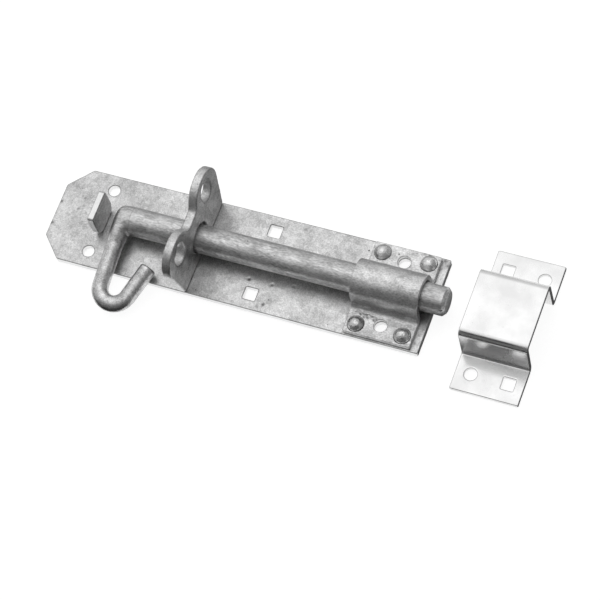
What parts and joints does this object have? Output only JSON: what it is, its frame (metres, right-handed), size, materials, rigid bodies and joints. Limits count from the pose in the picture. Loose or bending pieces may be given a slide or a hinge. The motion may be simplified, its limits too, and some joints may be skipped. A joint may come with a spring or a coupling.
{
  "type": "padbolt",
  "caption": "Galvanised padbolt: round bolt with a hooked handle that slides through an upright padlock plate and a bowed strap on a flat backplate, with a separate pressed keeper.",
  "frame": {"origin": "middle of the backplate's back face", "axes": "+X along the bolt towards its nose, +Z off the door, away from the back face"},
  "size_m": [0.2848, 0.0932, 0.0458],
  "materials": {
    "galvanised_plate": "hot-dip galvanised, matt, mottled",
    "galvanised_bolt": "hot-dip galvanised, streaked along the bar",
    "zinc_plated_sheet": "bright zinc plate, smooth"
  },
  "bodies": {
    "base": {"backplate": "galvanised_plate", "ear_plate": "galvanised_plate", "stop_lug": "galvanised_plate", "guide_strap": "galvanised_plate", "keeper": "zinc_plated_sheet", "guide_rivet_1": "galvanised_plate", "guide_rivet_2": "galvanised_plate", "guide_rivet_3": "galvanised_plate", "guide_rivet_4": "galvanised_plate"},
    "bolt": {"bolt_bar": "galvanised_bolt"},
    "handle": {"hooked_handle": "galvanised_bolt"}
  },
  "joints": [
    {"name": "bolt_slide", "type": "slide", "parent": "base", "child": "bolt", "axis": [1, 0, 0], "range_m": [-0.0072, 0.0132]},
    {"name": "handle_turn", "type": "hinge", "parent": "bolt", "child": "handle", "pos_m": [-0.06815, 0, 0.0143], "axis": [-1, 0, 0], "range_deg": [0, 200.38]}
  ]
}
